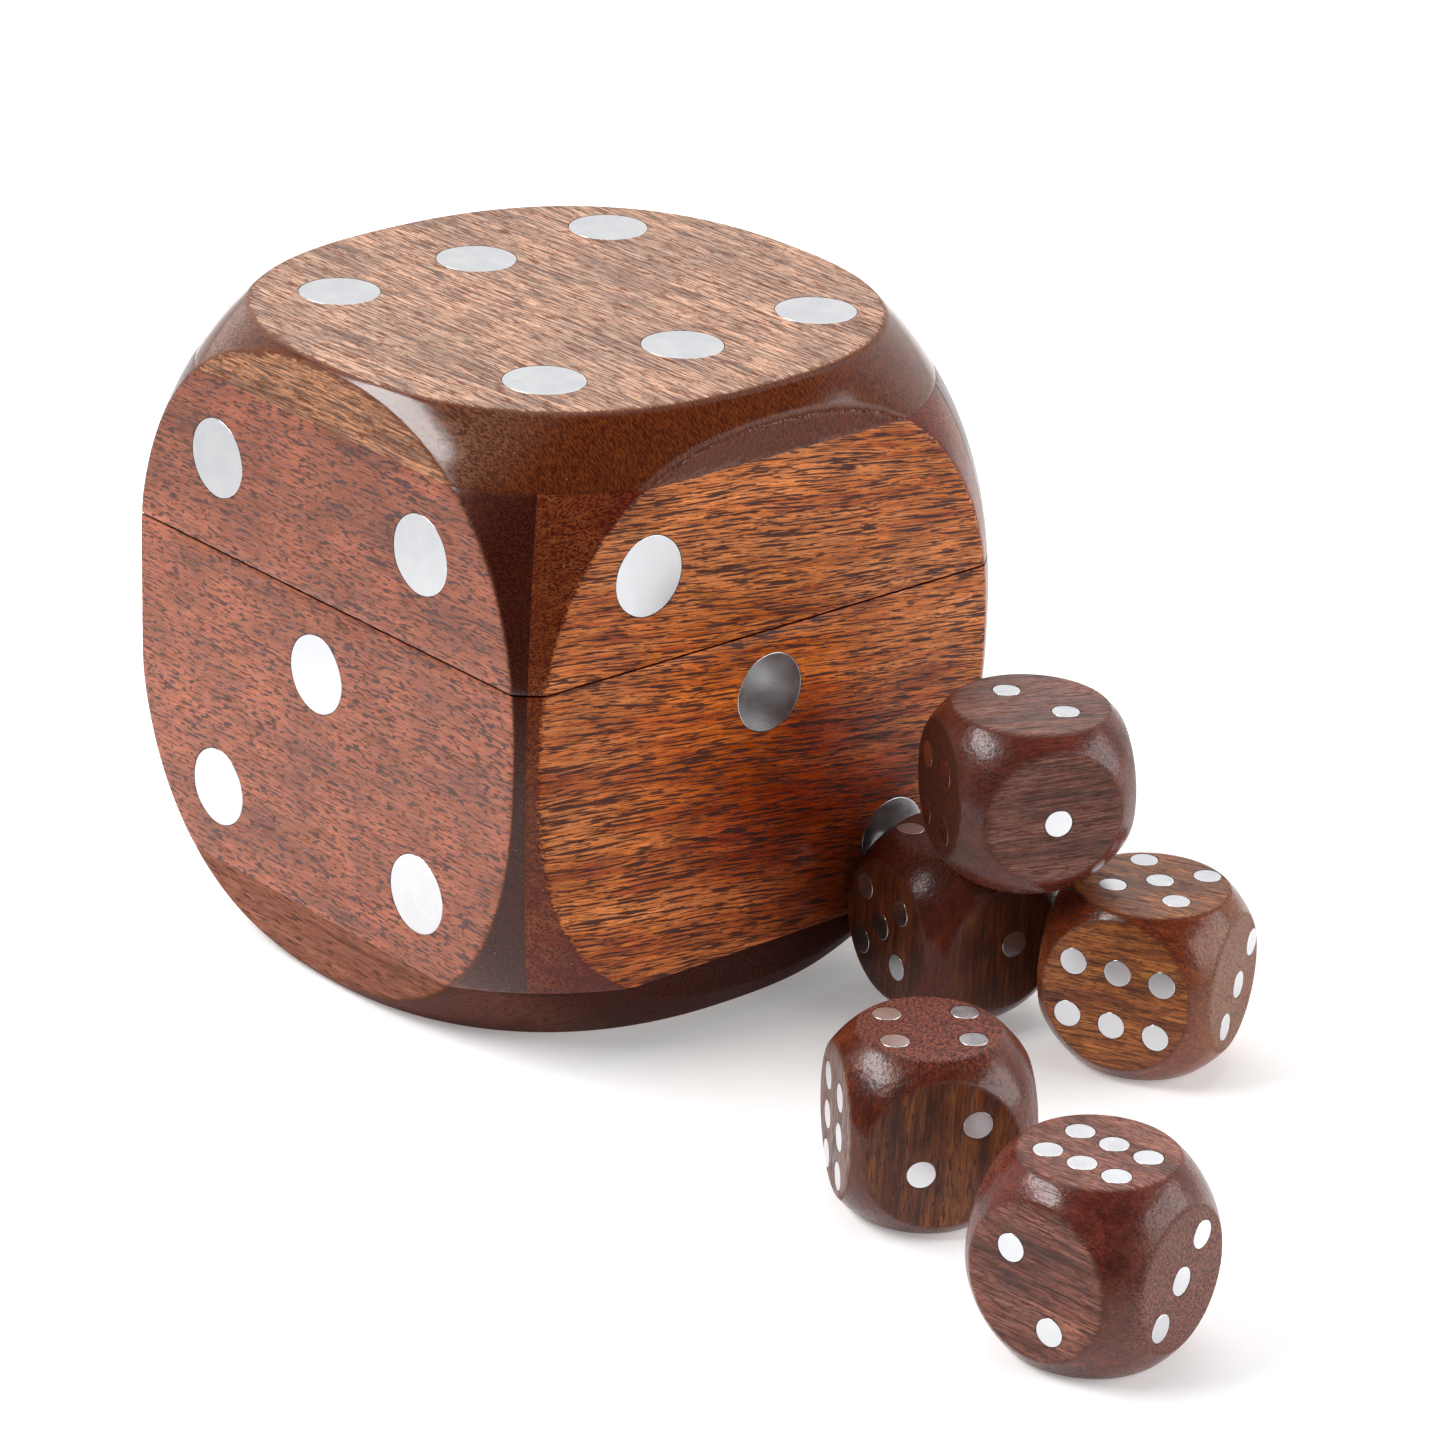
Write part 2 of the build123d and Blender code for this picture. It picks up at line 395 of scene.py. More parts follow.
def add_discs(node, block, body, name, segments, seed):
    """Makes a node's discs as one piece, and returns the drill for their pockets."""
    discs = discs_of(node, block)
    piece = solid_of(name, [disc_rings(block, d, seed + k, segments) for k, d in enumerate(discs)])
    smooth(piece.data, METAL_SHARP_ANGLE)
    dress(piece, aluminium)
    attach(piece, body)
    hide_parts(node)
    return solid_of("drill", [drill_rings(block, d, seed + k, segments) for k, d in enumerate(discs)])


# =====================================================================================
# shader nodes
# =====================================================================================
def add_node(tree, kind, inputs=(), **settings):
    """Adds a shader node. Inputs are (socket, value or output) pairs."""
    made = tree.nodes.new(kind)
    for name, value in settings.items():
        setattr(made, name, value)
    for socket, value in dict(inputs).items():
        if isinstance(value, bpy.types.NodeSocket):
            tree.links.new(value, made.inputs[socket])
        else:
            made.inputs[socket].default_value = value
    return made


def maths(tree, operation, *values, clamp=False):
    return add_node(tree, "ShaderNodeMath", enumerate(values), operation=operation,
                    use_clamp=clamp).outputs[0]


def product(tree, first, *others):
    for other in others:
        first = maths(tree, "MULTIPLY", first, other)
    return first


def vector_maths(tree, operation, *values):
    made = add_node(tree, "ShaderNodeVectorMath", enumerate(values), operation=operation)
    return made.outputs["Value" if operation in ("DOT_PRODUCT", "LENGTH") else "Vector"]


def noise(tree, vector, scale=1.0, detail=3.0, roughness=0.55, distortion=0.0, output="Fac"):
    return add_node(tree, "ShaderNodeTexNoise", {
        "Vector": vector, "Scale": scale, "Detail": detail, "Roughness": roughness,
        "Distortion": distortion}.items()).outputs[output]


def spread(tree, value, low, high, to_low=0.0, to_high=1.0):
    """Maps low..high smoothly to to_low..to_high."""
    return add_node(tree, "ShaderNodeMapRange", {
        "Value": value, "From Min": low, "From Max": high, "To Min": to_low,
        "To Max": to_high}.items(), interpolation_type="SMOOTHSTEP").outputs[0]


def mix(tree, factor, first, second, how="MIX"):
    """Mixes two colours; each is an output or an (r, g, b)."""
    colours = [c if isinstance(c, bpy.types.NodeSocket) else (*c, 1.0) for c in (first, second)]
    return add_node(tree, "ShaderNodeMix", {0: factor, 6: colours[0], 7: colours[1]}.items(),
                    data_type="RGBA", blend_type=how).outputs[2]


def tinted(tree, colour, tint):
    return mix(tree, 1.0, colour, tint, "MULTIPLY")


def object_place(tree):
    """The surface's place in the row frame with the part at rest, in metres."""
    return add_node(tree, "ShaderNodeTexCoord").outputs["Object"]


def bump(tree, strength, depth, height):
    return add_node(tree, "ShaderNodeBump", {
        "Strength": strength, "Distance": depth, "Height": height}.items()).outputs[0]


def new_material(name):
    material = bpy.data.materials.new(name)
    material.use_nodes = True
    tree = material.node_tree
    return material, tree, tree.nodes["Principled BSDF"]


# =====================================================================================
# wood and metal
# =====================================================================================
# sizes of what the noise draws, in mm along and across the fibre
FIBRE_SIZE = (8.0, 0.24)
GRIT_SIZE = (0.5, 0.16)
TORN_SIZE = (2.6, 0.35)
PIN_HOLE_CELL = (2.0, 1.3)
SPECK_LENGTH = 1.2
GRAIN_WAVES = (1 / 45, 1 / 16, 1 / 16)  # per mm
DENT_WAVES = 0.9                        # per mm

# levels of noise, or of how a surface faces, where one look of the wood passes into the next
DARK_TO_MID = (0.38, 0.50)
MID_TO_LIGHT = (0.48, 0.62)
FIBRE_LEVELS = (0.34, 0.66)
CLOUD_LEVELS = (0.32, 0.68)
GRIT_LEVELS = (0.30, 0.70)
SPECK_LEVELS = (0.40, 0.64)
EDGE_ON_LEVELS = (0.15, 0.55)
# depths below a flat, in mm, where it does
EDGE_DEPTH = (0.02, 0.09)
CORNER_DEPTH = (0.05, 0.26)
WORN_DEPTH = (0.12, 0.32)
WORN_END_DEPTH = (0.12, 0.90)
RIM_STARTS_FADING = 0.10
PIN_HOLE_RADIUS = (0.04, 0.09)          # share of a cell
UNFILLED_HOLES = 0.72                   # brightness of a cell above which its hole has filler
HOLE_SHARE = 0.8
# how much clouds and grit lighten or darken the wood, and clouds its roughness
CLOUD_SHADE = (0.82, 1.12)
GRIT_SHADE = (0.90, 1.10)
CLOUD_ROUGHNESS = (-0.03, 0.05)
# roughness added by pores and by a flat's worn edge
PORE_ROUGHNESS = 0.15
WORN_ROUGHNESS = 0.3
# the relief, as shares of its depth
RELIEF_DEPTH = 0.03 * MM
FIBRE_RELIEF, PORE_RELIEF, HOLE_RELIEF = 0.4, 0.8, 0.8

PATCH_STRETCH = (1, 0.7, 1)     # below 1 makes a patch longer that way
PATCH_WAVES = (60, 40, 150)     # per metre
PATCH_WANDER = 0.8              # shares of a patch's reach
PATCH_FADE = (0.6, 1.4)

CRACK_WAVES = 400.0             # per metre
CRACK_WANDER = 0.8 * MM
CRACK_STRENGTH = 0.9
CRACK_CORE = 0.4                # share of its width that is fully dark
CRACK_FADE = 0.7                # share of its reach where it starts to fade


def along_grain(tree, grain):
    """Coordinates in millimetres, X along the fibre, waving a little as a trunk does.

    Also returns how squarely the surface cuts the fibre, and how nearly it lies along
    the board's broad face.
    """
    fibre = Vector(grain["fibre"]).normalized()
    face = Vector(grain["face"])
    face = (face - face.dot(fibre) * fibre).normalized()
    axes = Matrix((fibre, face, fibre.cross(face))).transposed()
    place = add_node(tree, "ShaderNodeTexCoord")
    straight = add_node(tree, "ShaderNodeMapping", {
        "Vector": place.outputs["Object"], "Location": Vector(grain.get("heart", (0, 0, 0))),
        "Rotation": axes.to_euler(), "Scale": (MM, MM, MM)}.items(), vector_type="TEXTURE").outputs[0]
    slow = vector_maths(tree, "MULTIPLY", straight, GRAIN_WAVES)
    drift = noise(tree, slow, detail=1.0, output="Color")
    drift = vector_maths(tree, "SUBTRACT", drift, (0.5, 0.5, 0.5))
    bend = grain.get("bend", 3.0)
    drift = vector_maths(tree, "MULTIPLY", drift, (0, bend, bend))
    wavy = vector_maths(tree, "ADD", straight, drift)
    end_on, flat_on = [
        maths(tree, "ABSOLUTE", vector_maths(tree, "DOT_PRODUCT", place.outputs["Normal"], tuple(way)))
        for way in (fibre, face)]
    return wavy, end_on, flat_on


def stretched(tree, where, length, width, depth=None):
    """Grain coordinates scaled for noise of this size, in millimetres."""
    return vector_maths(tree, "MULTIPLY", where, (1 / length, 1 / width, 1 / (depth or width)))


def ground_colour(tree, where, look):
    """The wood between its pores. Also returns the noise of its fibres and of its clouds."""
    figure = noise(tree, stretched(tree, where, *look["figure"]), detail=2.0, distortion=0.4)
    streak = noise(tree, stretched(tree, where, *look["streak"]), detail=3.0, roughness=0.6)
    fibre = noise(tree, stretched(tree, where, *FIBRE_SIZE), detail=3.0, roughness=0.7)
    grit = noise(tree, stretched(tree, where, *GRIT_SIZE), detail=1.0)
    cloud = noise(tree, where, scale=1 / look["cloud"], detail=2.0)
    share = look["figure_share"]
    tone = maths(tree, "ADD", product(tree, figure, share), product(tree, streak, 1 - share))
    colour = mix(tree, spread(tree, tone, *DARK_TO_MID), look["dark"], look["mid"])
    colour = mix(tree, spread(tree, tone, *MID_TO_LIGHT), colour, look["light"])
    shade = product(tree, spread(tree, fibre, *FIBRE_LEVELS, *look["fibre"]),
                    spread(tree, cloud, *CLOUD_LEVELS, *CLOUD_SHADE),
                    spread(tree, grit, *GRIT_LEVELS, *GRIT_SHADE))
    grey = add_node(tree, "ShaderNodeCombineColor", {0: shade, 1: shade, 2: shade}.items()).outputs[0]
    return tinted(tree, colour, grey), fibre, cloud


def patch(tree, colour, middle, reach, tint):
    """Tints the colour round a point, longer along Y and fading out at its reach: a change of tone on
    the front walls, painted shade on the right walls.
    """
    place = object_place(tree)
    from_middle = vector_maths(tree, "SUBTRACT", place, middle)
    from_middle = vector_maths(tree, "MULTIPLY", from_middle, PATCH_STRETCH)
    far = vector_maths(tree, "LENGTH", from_middle)
    wave = noise(tree, vector_maths(tree, "MULTIPLY", place, PATCH_WAVES))
    far = maths(tree, "ADD", far, product(tree, wave, reach * PATCH_WANDER))
    share = spread(tree, far, reach * PATCH_FADE[0], reach * PATCH_FADE[1], 1.0, 0.0)
    return mix(tree, share, colour, tinted(tree, colour, tint))


def stroke_mask(tree, where, look):
    """Dark strokes: the open pores, cut lengthwise."""
    strokes = 0.0
    for length, width, low, high, strength in look["strokes"]:
        line = noise(tree, stretched(tree, where, length, width), detail=1.5, roughness=0.5)
        line = spread(tree, line, low, high, 0.0, strength)
        strokes = maths(tree, "MAXIMUM", strokes, line)
    return strokes


def end_grain_colour(tree, where, look):
    """End grain drinks more stain, and shows as fine light and dark specks."""
    speck = noise(tree, stretched(tree, where, SPECK_LENGTH, *look["speck"]), detail=2.0, roughness=0.7)
    return mix(tree, spread(tree, speck, *SPECK_LEVELS), look["end_dark"], look["end_light"])


def edge_masks(tree, where, look):
    """The sanded corner, the coloured rim round each flat, and two widths of its worn edge."""
    below = add_node(tree, "ShaderNodeAttribute", attribute_name="below_flat").outputs["Fac"]
    torn = noise(tree, stretched(tree, where, *TORN_SIZE), detail=2.0, roughness=0.7)
    rough = look["rough_edge"]
    below = maths(tree, "ADD", below, spread(tree, torn, 0.3, 0.7, -rough, rough))
    corner = spread(tree, below, *CORNER_DEPTH)
    edge = spread(tree, below, *EDGE_DEPTH)
    rim, worn, worn_end = [
        product(tree, edge, spread(tree, below, *fading, 1.0, 0.0))
        for fading in ((RIM_STARTS_FADING, look["rim_width"]), WORN_DEPTH, WORN_END_DEPTH)]
    return corner, rim, worn, worn_end


def pin_holes(tree, where):
    """Small round pores, and which of them hold pale filler."""
    cells = add_node(tree, "ShaderNodeTexVoronoi", {
        "Vector": stretched(tree, where, *PIN_HOLE_CELL), "Scale": 1.0, "Randomness": 1.0}.items())
    hole = spread(tree, cells.outputs["Distance"], *PIN_HOLE_RADIUS, 1.0, 0.0)
    filled = maths(tree, "GREATER_THAN", cells.outputs["Color"], UNFILLED_HOLES)
    return hole, filled


def crack_mask(tree, middle, across, reach, width):
    """A drying crack: a thin wavy slit through the wood, ending a little way from its middle."""
    place = object_place(tree)
    from_middle = vector_maths(tree, "SUBTRACT", place, middle)
    wave = maths(tree, "SUBTRACT", noise(tree, place, scale=CRACK_WAVES), 0.5)
    aside = vector_maths(tree, "DOT_PRODUCT", from_middle, tuple(Vector(across).normalized()))
    aside = maths(tree, "ADD", aside, product(tree, wave, CRACK_WANDER))
    slit = spread(tree, maths(tree, "ABSOLUTE", aside), width * CRACK_CORE, width, 1.0, 0.0)
    far = vector_maths(tree, "LENGTH", from_middle)
    return product(tree, slit, spread(tree, far, reach * CRACK_FADE, reach, CRACK_STRENGTH, 0.0))


def roughness_of(tree, look, polished, cloud, rougher):
    """Satin flats and glossier corners, rougher by the amount of each (mask, amount) pair."""
    total = spread(tree, polished, 0, 1, look["flat_roughness"], look["corner_roughness"])
    for mask, amount in rougher:
        total = maths(tree, "ADD", total, product(tree, mask, amount))
    return maths(tree, "ADD", total, spread(tree, cloud, 0.3, 0.7, *CLOUD_ROUGHNESS), clamp=True)


def relief_of(tree, where, look, open_grain, corner, fibre, strokes, hole):
    """Fibres and sunk pores, and the dents that sanding leaves in the corners."""
    relief = maths(tree, "SUBTRACT", product(tree, fibre, FIBRE_RELIEF),
                   product(tree, strokes, PORE_RELIEF))
    relief = product(tree, relief, open_grain)
    relief = maths(tree, "SUBTRACT", relief, product(tree, hole, HOLE_RELIEF))
    dents = noise(tree, where, scale=DENT_WAVES, detail=2.0, roughness=0.6)
    dents = product(tree, dents, product(tree, corner, look["dents"]))
    return bump(tree, look["relief"], RELIEF_DEPTH, maths(tree, "ADD", relief, dents))


def wood(name, grain, look):
    """Oiled rosewood: figure, dark pores, darker end grain, stained corners, satin polish."""
    material, tree, shader = new_material(name)
    where, end_on, flat_on = along_grain(tree, grain)
    colour, fibre, cloud = ground_colour(tree, where, look)
    # patches change the tone round a point; on the right walls they paint shade
    for middle, reach, tint in look["patches"]:
        colour = patch(tree, colour, middle, reach, tint)
    edge_on = spread(tree, flat_on, *EDGE_ON_LEVELS, 1.0, 0.0)
    colour = mix(tree, edge_on, colour, tinted(tree, colour, look["edge_tint"]))
    strokes = stroke_mask(tree, where, look)
    colour = mix(tree, strokes, colour, look["pore"])
    end_share = spread(tree, end_on, *look["end_range"])
    colour = mix(tree, end_share, colour, end_grain_colour(tree, where, look))

    # sanded corners keep their red stain, which on the foot board is darker as painted shade; the edge
    # of each flat is burnished
    corner, rim, worn, worn_end = edge_masks(tree, where, look)
    side_on = maths(tree, "SUBTRACT", 1.0, end_share)
    stained = mix(tree, look["stain_share"], tinted(tree, colour, look["stain"]), look["stain_body"])
    colour = mix(tree, product(tree, corner, side_on), colour, stained)
    colour = mix(tree, product(tree, rim, side_on, look["rim_share"]), colour, look["rim"])
    if look["crack"]:
        colour = mix(tree, crack_mask(tree, *look["crack"]), colour, look["end_dark"])
    hole, filled = pin_holes(tree, where)
    hole = product(tree, hole, corner)
    colour = mix(tree, product(tree, hole, HOLE_SHARE), colour,
                 mix(tree, filled, look["pore"], look["filler"]))
    tree.links.new(colour, shader.inputs["Base Color"])

    polished = maths(tree, "MAXIMUM", corner, product(tree, end_share, look["end_polish"]))
    open_grain = spread(tree, polished, 0, 1, 1.0, look["corner_grain"])
    rougher = ((product(tree, strokes, open_grain), PORE_ROUGHNESS), (worn, WORN_ROUGHNESS),
               (product(tree, worn_end, end_share), look["worn_end"]), (end_share, look["end_dull"]))
    tree.links.new(roughness_of(tree, look, polished, cloud, rougher), shader.inputs["Roughness"])
    shader.inputs["Specular IOR Level"].default_value = look["specular"]
    relief = relief_of(tree, where, look, open_grain, corner, fibre, strokes, hole)
    tree.links.new(relief, shader.inputs["Normal"])
    return material


def metal():
    """Aluminium sanded flush and half polished: bright, with faint scratches and smudges."""
    material, tree, shader = new_material("inlaid_aluminium")
    bright, dull = (0.69, 0.695, 0.71), (0.655, 0.665, 0.69)
    scratched, pitted = (0.55, 0.55, 0.58), (0.30, 0.29, 0.30)
    # waves per metre
    smudge_waves, pit_waves, scratch_waves = 330.0, 5200.0, (900, 5200, 700)
    place = object_place(tree)
    smudge = noise(tree, place, scale=smudge_waves, detail=3.0)
    scratch = noise(tree, vector_maths(tree, "MULTIPLY", place, scratch_waves), detail=3.0,
                    roughness=0.7, distortion=0.6)
    pit = noise(tree, place, scale=pit_waves, detail=1.0)
    colour = mix(tree, spread(tree, smudge, 0.35, 0.65), dull, bright)
    colour = mix(tree, spread(tree, scratch, 0.60, 0.72, 0, 0.30), colour, scratched)
    colour = mix(tree, spread(tree, pit, 0.70, 0.76, 0, 0.5), colour, pitted)
    tree.links.new(colour, shader.inputs["Base Color"])
    tree.links.new(spread(tree, smudge, 0.3, 0.7, 0.21, 0.26), shader.inputs["Roughness"])
    tree.links.new(bump(tree, 0.10, 0.006 * MM, scratch), shader.inputs["Normal"])
    shader.inputs["Metallic"].default_value = 1.0
    return material


# A look. figure, streak, cloud and speck are sizes of noise, in mm; fibre is how far fibres darken
# and lighten the wood; end_range is how squarely the fibre is cut where end grain starts and where
# it is full; rim_width and rough_edge are depths below a flat, in mm. strokes are (length, width,
# noise level where they start, where they are full, strength); patches are (middle, reach, tint),
# which on the right walls paint shade; a crack is (middle, direction across it, reach, width).
ROSEWOOD = {
    "figure": (60, 9), "streak": (22, 1.3), "figure_share": 0.5, "cloud": 14, "fibre": (0.76, 1.22),
    "light": (0.40, 0.150, 0.062), "mid": (0.33, 0.112, 0.045), "dark": (0.17, 0.055, 0.026),
    "edge_tint": (1, 1, 1), "patches": (), "crack": None,
    "end_dark": (0.045, 0.012, 0.006), "end_light": (0.130, 0.046, 0.024), "end_range": (0.25, 0.85),
    "end_polish": 0.0, "end_dull": 0.10, "speck": (0.30, 0.30),
    "stain": (0.55, 0.38, 0.36), "stain_body": (0.085, 0.020, 0.012), "stain_share": 0.45,
    "pore": (0.050, 0.017, 0.012), "strokes": ((3.6, 0.42, 0.55, 0.66, 0.85),),
    "filler": (0.34, 0.20, 0.16), "corner_grain": 0.15,
    "rim": (0.20, 0.060, 0.014), "rim_share": 0.6, "rim_width": 0.45, "rough_edge": 0.10,
    "worn_end": 0.0, "flat_roughness": 0.30, "corner_roughness": 0.22, "specular": 0.5,
    "relief": 0.5, "dents": 1.5,
}


def like(base, **changes):
    return {**base, **changes}


top_look = like(
    ROSEWOOD, figure=(60, 6), streak=(24, 0.8), figure_share=0.35, fibre=(0.64, 1.30),
    light=(0.60, 0.335, 0.210), mid=(0.53, 0.285, 0.175), dark=(0.31, 0.158, 0.094),
    edge_tint=(0.95, 0.74, 0.52), end_dark=(0.058, 0.009, 0.002), end_light=(0.175, 0.038, 0.006),
    end_range=(0.20, 0.62), end_polish=0.9, end_dull=0.0, speck=(0.6, 0.16),
    stain=(0.32, 0.13, 0.05), stain_body=(0.100, 0.020, 0.004), stain_share=0.35,
    pore=(0.085, 0.044, 0.034), strokes=((9, 0.28, 0.535, 0.585, 0.9), (4, 0.2, 0.56, 0.62, 0.85)),
    rim=(0.145, 0.034, 0.004), rim_share=0.9, rim_width=0.65, worn_end=0.6,
    flat_roughness=0.38, corner_roughness=0.11, specular=0.42, relief=0.25, dents=1.2,
    crack=((0.0398, -0.0184, 0.0842), (0.03, -0.84, -0.54), 6 * MM, 0.12 * MM))
front_look = like(
    ROSEWOOD, figure=(40, 7), streak=(18, 1.5), cloud=9, fibre=(0.74, 1.22),
    light=(0.41, 0.122, 0.064), mid=(0.360, 0.106, 0.056), dark=(0.26, 0.080, 0.046),
    end_dark=(0.030, 0.003, 0.001), end_light=(0.075, 0.012, 0.003), end_range=(0.15, 0.65),
    stain=(0.25, 0.11, 0.08), stain_body=(0.035, 0.006, 0.003), rim_share=0.35,
    pore=(0.075, 0.034, 0.032),
    strokes=((1.7, 0.40, 0.565, 0.610, 0.95), (3.2, 0.34, 0.59, 0.65, 0.9)),
    corner_roughness=0.14, specular=0.36, relief=0.3,
    patches=(((-0.022, -0.043, 0.070), 15 * MM, (0.86, 0.85, 0.86)),
             ((0.008, -0.043, 0.050), 13 * MM, (0.88, 0.88, 0.90)),
             ((-0.016, -0.043, 0.022), 14 * MM, (1.05, 1.05, 1.04))))
right_look = like(
    ROSEWOOD, figure=(60, 6), streak=(16, 1.1), figure_share=0.4, cloud=11, fibre=(0.70, 1.24),
    light=(0.68, 0.220, 0.060), mid=(0.56, 0.152, 0.028), dark=(0.36, 0.066, 0.009),
    end_dark=(0.050, 0.006, 0.003), end_light=(0.130, 0.022, 0.010), end_range=(0.30, 0.9),
    stain=(0.36, 0.16, 0.18), stain_body=(0.095, 0.010, 0.006), stain_share=0.55,
    pore=(0.045, 0.009, 0.005),
    strokes=((6.0, 0.27, 0.53, 0.575, 0.95), (2.6, 0.20, 0.58, 0.62, 0.85)),
    rim_share=0.0, rough_edge=0.14, flat_roughness=0.24, specular=0.22, relief=0.3,
    # these patches are painted shade: a darker, deeper-coloured band up the middle of the wall, where
    # it mirrors nothing bright, and the dice's shadow low towards the back
    patches=(((0.042, -0.004, 0.042), 25 * MM, (0.90, 0.66, 0.24)),
             ((0.042, 0.006, 0.028), 22 * MM, (0.72, 0.36, 0.20)),
             ((0.042, 0.024, 0.016), 22 * MM, (0.54, 0.36, 0.30))))
# the foot board: darker wood, and a darker corner stain that is painted shade, for the rounded bottom
# of the box lying in shadow near the floor
foot_look = like(
    ROSEWOOD, light=(0.30, 0.110, 0.070), mid=(0.24, 0.082, 0.050), dark=(0.14, 0.042, 0.025),
    end_dark=(0.022, 0.003, 0.001), end_light=(0.060, 0.010, 0.004), end_range=(0.30, 0.75),
    stain=(0.34, 0.17, 0.14), specular=0.10, corner_roughness=0.55)
strip_look = like(
    ROSEWOOD, light=(0.40, 0.19, 0.095), mid=(0.34, 0.15, 0.070), dark=(0.22, 0.09, 0.045),
    flat_roughness=0.6, corner_roughness=0.6, stain=(1, 1, 1), stain_share=0.0, rim_share=0.0)
# the sawn faces, darker than the strip: painted shade, so that the saw gap between base and lid shows
# as a black line
bare_and_gap_shade_look = like(
    strip_look, light=(0.30, 0.125, 0.060), mid=(0.24, 0.095, 0.045), dark=(0.15, 0.055, 0.028))

# fibre: which way it runs; face: the way a board's broad side looks; heart: shifts the pattern,
# in metres; bend: how far the fibre waves, in mm
DOWN_TILT = radians(-8)
wall_grain = {
    "front": {"fibre": (1, 0, 0.02), "face": (0, 1, 0), "heart": (0, 0, 0.011)},
    "right": {"fibre": (0, cos(DOWN_TILT), sin(DOWN_TILT)), "face": (1, 0, 0), "heart": (0.004, 0, 0)},
    "back": {"fibre": (1, 0, 0.05), "face": (0, 1, 0), "heart": (0.03, 0, 0.02)},
    "left": {"fibre": (0, 1, 0.03), "face": (1, 0, 0), "heart": (0, 0.02, 0.03)},
}
top_grain = {"fibre": (1, 0.02, 0), "face": (0, 0, 1), "bend": 2.0}
foot_grain = {"fibre": (1, 0.05, 0), "face": (0, 0, 1), "heart": (0, 0.01, 0.02)}
wall_look = {"front": front_look, "right": right_look, "back": front_look, "left": right_look}
wall_wood = {side: wood(f"wood_{side}_walls", wall_grain[side], wall_look[side]) for side in WALLS}
bare_and_gap_shade_wood = {side: wood(f"bare_and_gap_shade_wood_{side}", wall_grain[side], bare_and_gap_shade_look) for side in WALLS}
foot_wood = wood("wood_foot_board", foot_grain, foot_look)
top_wood = wood("wood_top_board", top_grain, top_look)
bare_and_gap_shade_level = wood("bare_and_gap_shade_wood_level", top_grain, bare_and_gap_shade_look)
aluminium = metal()


# =====================================================================================
# the box
# =====================================================================================
UP, DOWN = Vector((0, 0, 1)), Vector((0, 0, -1))
LEAST_SAW_EASE = 0.05 * MM
BOX_DISC_SEGMENTS = 72

foot_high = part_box("base_foot_board")[1]
top_low, top_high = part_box("lid_top_board")
wall_low, wall_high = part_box("base_front_wall")
box_half = Vector((foot_high.x, foot_high.y, top_high.z / 2))
box_middle = Vector((0, 0, box_half.z))
wall_thickness = wall_high.y - wall_low.y
parting = wall_high.z
glue_low, glue_high = foot_high.z, top_low.z
box = Block(box_middle, box_half, 0.0, Vector(ROUNDING_MIDDLE) - box_middle, ROUNDING_RADII,
            ROUNDING_POWER, BOX_EASE, seed=3)
box_skin = block_bmesh(box, inner=20, outer=13)


def level_cut(height, normal, ease):
    return Vector((0, 0, height)), normal, ease


def wall_cuts(side):
    """The planes that cut one mitred wall out of the block: the inner face and two mitres."""
    axis, sign = SIDES[side]
    outward = Vector((0, 0, 0))
    outward[axis] = sign
    across = Vector((-outward.y, outward.x, 0))
    inner_face = outward * (box_half[axis] - wall_thickness)
    cuts = [(inner_face, -outward, 0)]
    for way in (-1, 1):
        corner = outward * box_half[axis] + across * way * box_half[1 - axis]
        cuts.append((corner, (across * way - outward).normalized(), GLUE_EASE))
    return cuts


def add_board(name, node, body, cuts, discs, skin, bare, seed):
    """One board of the box, cut from the rounded block, with its pockets and discs."""
    bm = box_skin.copy()
    for at, normal, ease in cuts:
        saw(bm, at, normal, max(ease, LEAST_SAW_EASE))
    ease_cuts(bm, box, cuts)
    drill = add_discs(discs, box, body, discs.replace("pip", "disc"), BOX_DISC_SEGMENTS, seed)
    piece = finish_wood(name, bm, box, drill)
    dress(piece, skin, bare)
    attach(piece, body)
    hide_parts(node)


add_board("foot_board", "base_foot_board", "box_base", [level_cut(glue_low, UP, GLUE_EASE)],
          "base_foot_pip", foot_wood, bare_and_gap_shade_level, seed=100)
add_board("top_board", "lid_top_board", "box_lid", [level_cut(glue_high, DOWN, GLUE_EASE)],
          "lid_top_pips", top_wood, bare_and_gap_shade_level, seed=120)
halves = {
    "base": [level_cut(glue_low, DOWN, GLUE_EASE), level_cut(parting - SAW_GAP, UP, SAW_EASE)],
    "lid": [level_cut(parting, DOWN, SAW_EASE), level_cut(glue_high, UP, GLUE_EASE)],
}
for order, side in enumerate(WALLS):
    for half, level_cuts in halves.items():
        add_board(f"{half}_{side}_board", f"{half}_{side}_wall", f"box_{half}",
                  level_cuts + wall_cuts(side), f"{half}_{side}_pips", wall_wood[side],
                  bare_and_gap_shade_wood[side], seed=200 + 20 * order + len(half))
box_skin.free()

for side in WALLS:
    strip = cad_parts[f"base_{side}_strip"]
    dress(strip, wood(f"strip_wood_{side}", wall_grain[side], strip_look))


# =====================================================================================
# the small dice
# =====================================================================================
DIE_POCKET = 1.5 * MM
DIE_DISC_SEGMENTS = 32


def turn_of(mesh):
    """How far a die is turned about Z: the way that most of its upright faces look."""
    area = {}
    for face in mesh.polygons:
        if abs(face.normal.z) < 0.01:
            angle = round(np.degrees(np.arctan2(face.normal.y, face.normal.x)) % 90, 1)
            area[angle] = area.get(angle, 0) + face.area
    turn = max(area, key=area.get)
    return radians(turn - 90 if turn > 45 else turn)


